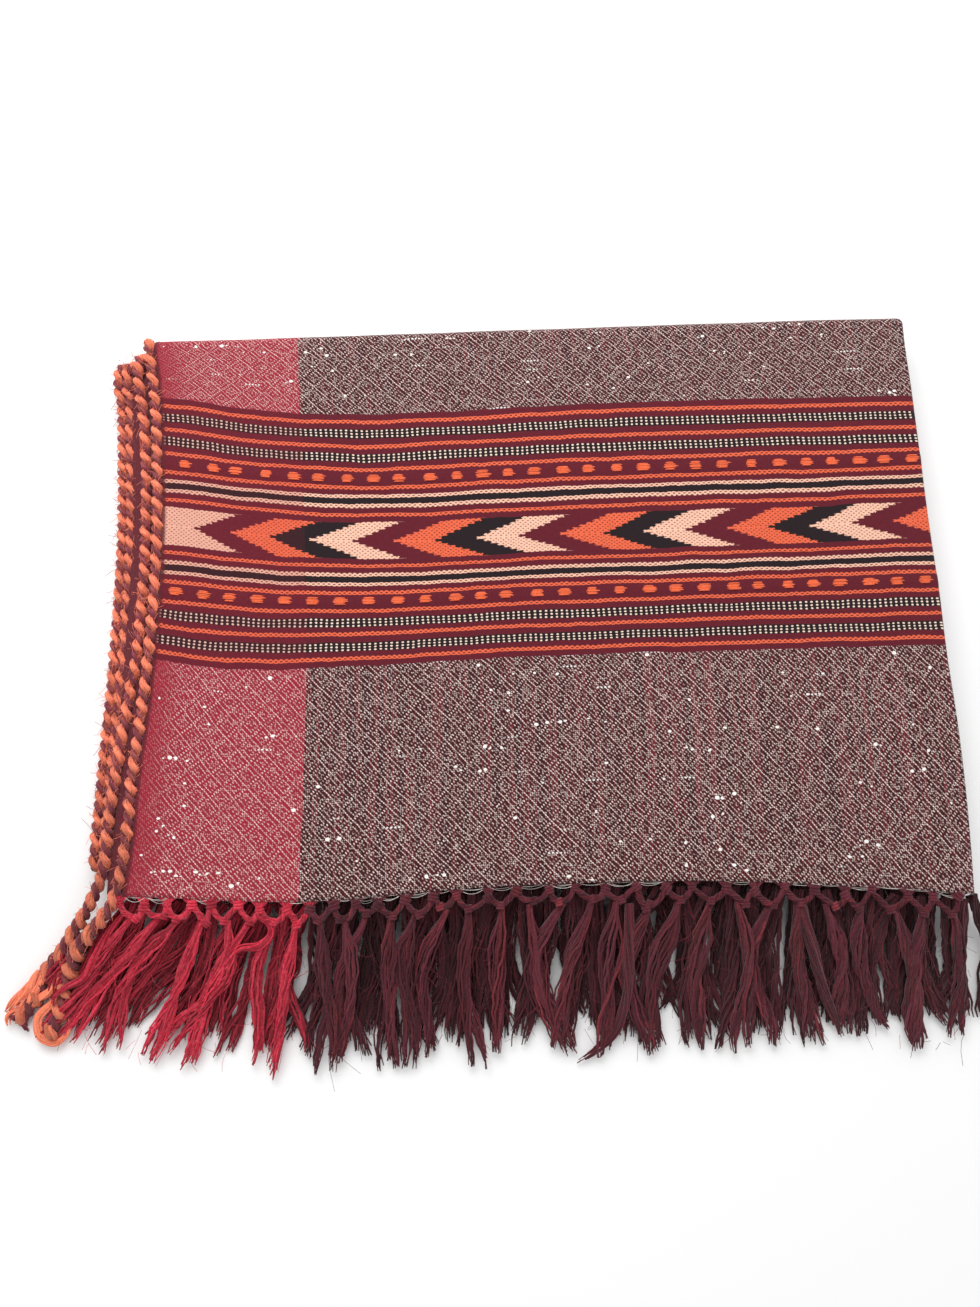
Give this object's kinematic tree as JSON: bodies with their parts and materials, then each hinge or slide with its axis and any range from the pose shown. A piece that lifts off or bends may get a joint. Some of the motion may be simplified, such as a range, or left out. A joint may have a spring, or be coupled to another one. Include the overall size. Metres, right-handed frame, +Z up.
{
  "type": "folded wool shawl",
  "caption": "Handwoven wool shawl folded flat, with a patterned cross band, twisted selvedge ropes and a knotted fringe along one edge.",
  "frame": {"origin": "bottom centre of the bounding box, on the surface that the shawl lies on", "axes": "+Z up through the plies, +X across the shawl from the selvedge ropes to the side fold, +Y along the shawl from the fringe to the far fold"},
  "size_m": [0.567, 0.4852, 0.0281],
  "materials": {
    "woven_wool": "matt diamond twill, dark maroon and red wool with pale weft",
    "rope_wool": "matt two-ply wool rope, orange and maroon",
    "fringe_wool": "soft unspun wool ends, crimson and dark maroon"
  },
  "bodies": {
    "root": {"top_cloth": "woven_wool", "folded_layers": "woven_wool", "selvedge_rope_outer": "rope_wool", "selvedge_rope_inner": "rope_wool", "under_rope_inner": "rope_wool", "under_rope_outer": "rope_wool", "fringe_upper": "fringe_wool", "fringe_lower": "fringe_wool"}
  },
  "joints": []
}
